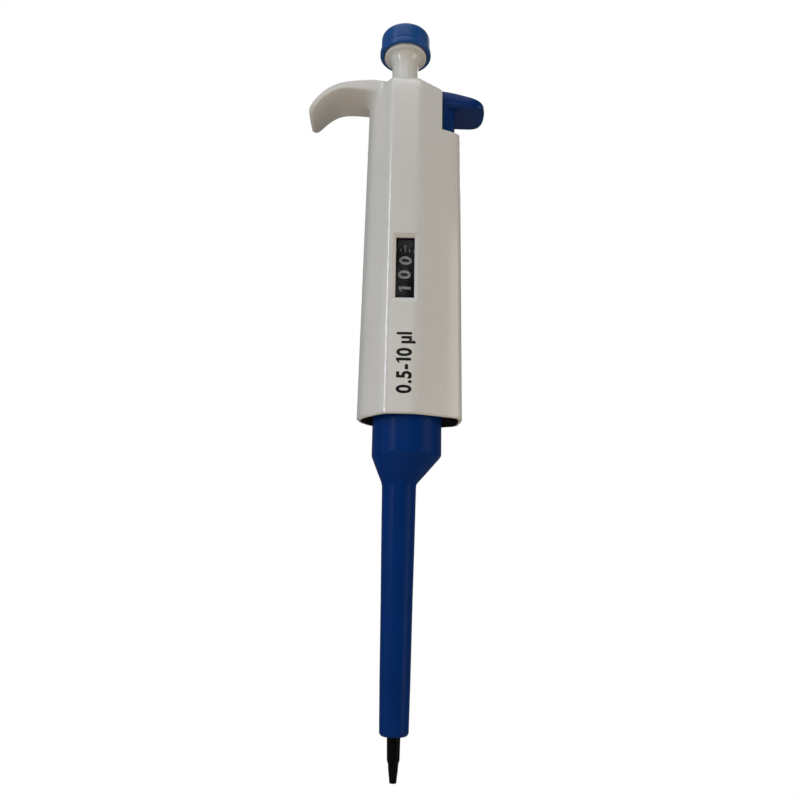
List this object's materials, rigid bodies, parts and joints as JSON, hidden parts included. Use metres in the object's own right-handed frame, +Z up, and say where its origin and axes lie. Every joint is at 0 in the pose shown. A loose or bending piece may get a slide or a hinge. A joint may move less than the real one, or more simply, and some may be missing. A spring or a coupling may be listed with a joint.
{
  "type": "adjustable micropipette",
  "caption": "Hand-held adjustable micropipette: off-white housing with finger hook, blue turning plunger knob, volume counter, blue tip ejector and black tip cone.",
  "frame": {"origin": "lower end of the tip cone, on the plunger axis", "axes": "+Z up the plunger axis to the knob, -X towards the finger hook, +X towards the ejector button, -Y the front with the volume window"},
  "size_m": [0.0592, 0.025, 0.24],
  "materials": {
    "housing_plastic": "off-white moulded housing, semi-gloss, fine moulding texture",
    "button_plastic": "white moulded push button, semi-gloss",
    "cap_plastic": "blue moulded cap, semi-gloss",
    "sleeve_plastic": "blue moulded sleeve, semi-gloss",
    "ejector_plastic": "dark blue moulded button, glossy",
    "barrel_plastic": "black chemical-resistant plastic, satin",
    "frame_plastic": "black glass-filled plastic, matt",
    "grey_plastic": "grey plastic, satin",
    "drum_plastic": "black number drum with light printed digits",
    "window_plastic": "clear plastic window, polished",
    "steel": "stainless steel, fine turned finish",
    "brass": "turned brass",
    "seal_rubber": "black elastomer, matt",
    "seal_polymer": "white low-friction seal polymer"
  },
  "bodies": {
    "root": {"housing": "housing_plastic", "window_lens": "window_plastic", "barrel": "barrel_plastic", "barrel_nut": "grey_plastic", "piston_seal": "seal_polymer", "seal_o_ring": "seal_rubber", "seal_retainer": "steel", "piston_spring": "steel", "chassis_tube": "frame_plastic", "counter_frame": "frame_plastic", "frame_screw_1": "steel", "frame_screw_2": "steel", "frame_retaining_ring": "grey_plastic", "rod_guide_bush": "brass", "pinion_shaft": "steel", "drum_spacer": "grey_plastic", "guide_tube": "steel", "calibration_ring": "brass", "top_bush": "frame_plastic", "stem_friction_ring": "seal_rubber", "main_return_spring": "steel", "ejector_spring": "steel"},
    "plunger": {"pusher": "grey_plastic", "thrust_ball": "steel", "piston_head": "grey_plastic", "piston": "steel"},
    "knob": {"knob_cap": "cap_plastic", "push_button": "button_plastic", "operating_rod": "steel", "rod_screw": "steel"},
    "spindle": {"setting_spindle": "steel", "tenths_drum": "drum_plastic", "vernier_drum": "drum_plastic"},
    "units_wheel": {"units_drum": "drum_plastic"},
    "tens_wheel": {"tens_drum": "drum_plastic"},
    "units_pinion": {"units_pinion": "brass"},
    "tens_pinion": {"tens_pinion": "brass"},
    "stop_nut": {"stop_nut": "brass", "blow_out_spring": "steel"},
    "ejector": {"ejector_button": "ejector_plastic", "ejector_rod": "steel", "rod_clip": "steel", "ejector_sleeve": "sleeve_plastic", "ejector_carriage": "frame_plastic", "rod_nut": "steel"}
  },
  "joints": [
    {"name": "plunger_press", "type": "slide", "parent": "root", "child": "plunger", "axis": [0, 0, -1], "range_m": [0, 0.0106], "stiffness_N_per_m": 300, "springref_m": -0.01, "deforming": ["main_return_spring", "piston_spring", "blow_out_spring"]},
    {"name": "volume_turn", "type": "hinge", "parent": "plunger", "child": "knob", "pos_m": [0, 0, 0.235], "axis": [0, 0, 1], "range_deg": [-3420, 0]},
    {"name": "spindle_spin", "type": "hinge", "parent": "root", "child": "spindle", "pos_m": [0, 0, 0.16], "axis": [0, 0, 1], "range_deg": [-3420, 0]},
    {"name": "units_wheel_spin", "type": "hinge", "parent": "root", "child": "units_wheel", "pos_m": [0, 0, 0.14735], "axis": [0, 0, 1], "range_deg": [-342, 0]},
    {"name": "tens_wheel_spin", "type": "hinge", "parent": "root", "child": "tens_wheel", "pos_m": [0, 0, 0.1426], "axis": [0, 0, 1], "range_deg": [-34.2, 0]},
    {"name": "units_pinion_spin", "type": "hinge", "parent": "root", "child": "units_pinion", "pos_m": [0.00905, 0.00522, 0.14972], "axis": [0, 0, 1], "range_deg": [0, 1282.5]},
    {"name": "tens_pinion_spin", "type": "hinge", "parent": "root", "child": "tens_pinion", "pos_m": [0.00905, 0.00522, 0.14497], "axis": [0, 0, 1], "range_deg": [0, 128.25]},
    {"name": "stop_nut_travel", "type": "slide", "parent": "root", "child": "stop_nut", "axis": [0, 0, -1], "range_m": [-0.0076, 0]},
    {"name": "eject", "type": "slide", "parent": "root", "child": "ejector", "axis": [0, 0, -1], "range_m": [0, 0.0085], "stiffness_N_per_m": 250, "springref_m": -0.006, "deforming": ["ejector_spring"]}
  ],
  "couplings": [
    {"joint": "volume_turn", "follows": "stop_nut_travel", "rad_per_m": 7854},
    {"joint": "spindle_spin", "follows": "stop_nut_travel", "rad_per_m": 7854},
    {"joint": "units_wheel_spin", "follows": "stop_nut_travel", "rad_per_m": 785.4},
    {"joint": "tens_wheel_spin", "follows": "stop_nut_travel", "rad_per_m": 78.54},
    {"joint": "units_pinion_spin", "follows": "stop_nut_travel", "rad_per_m": -2945.2},
    {"joint": "tens_pinion_spin", "follows": "stop_nut_travel", "rad_per_m": -294.52}
  ]
}
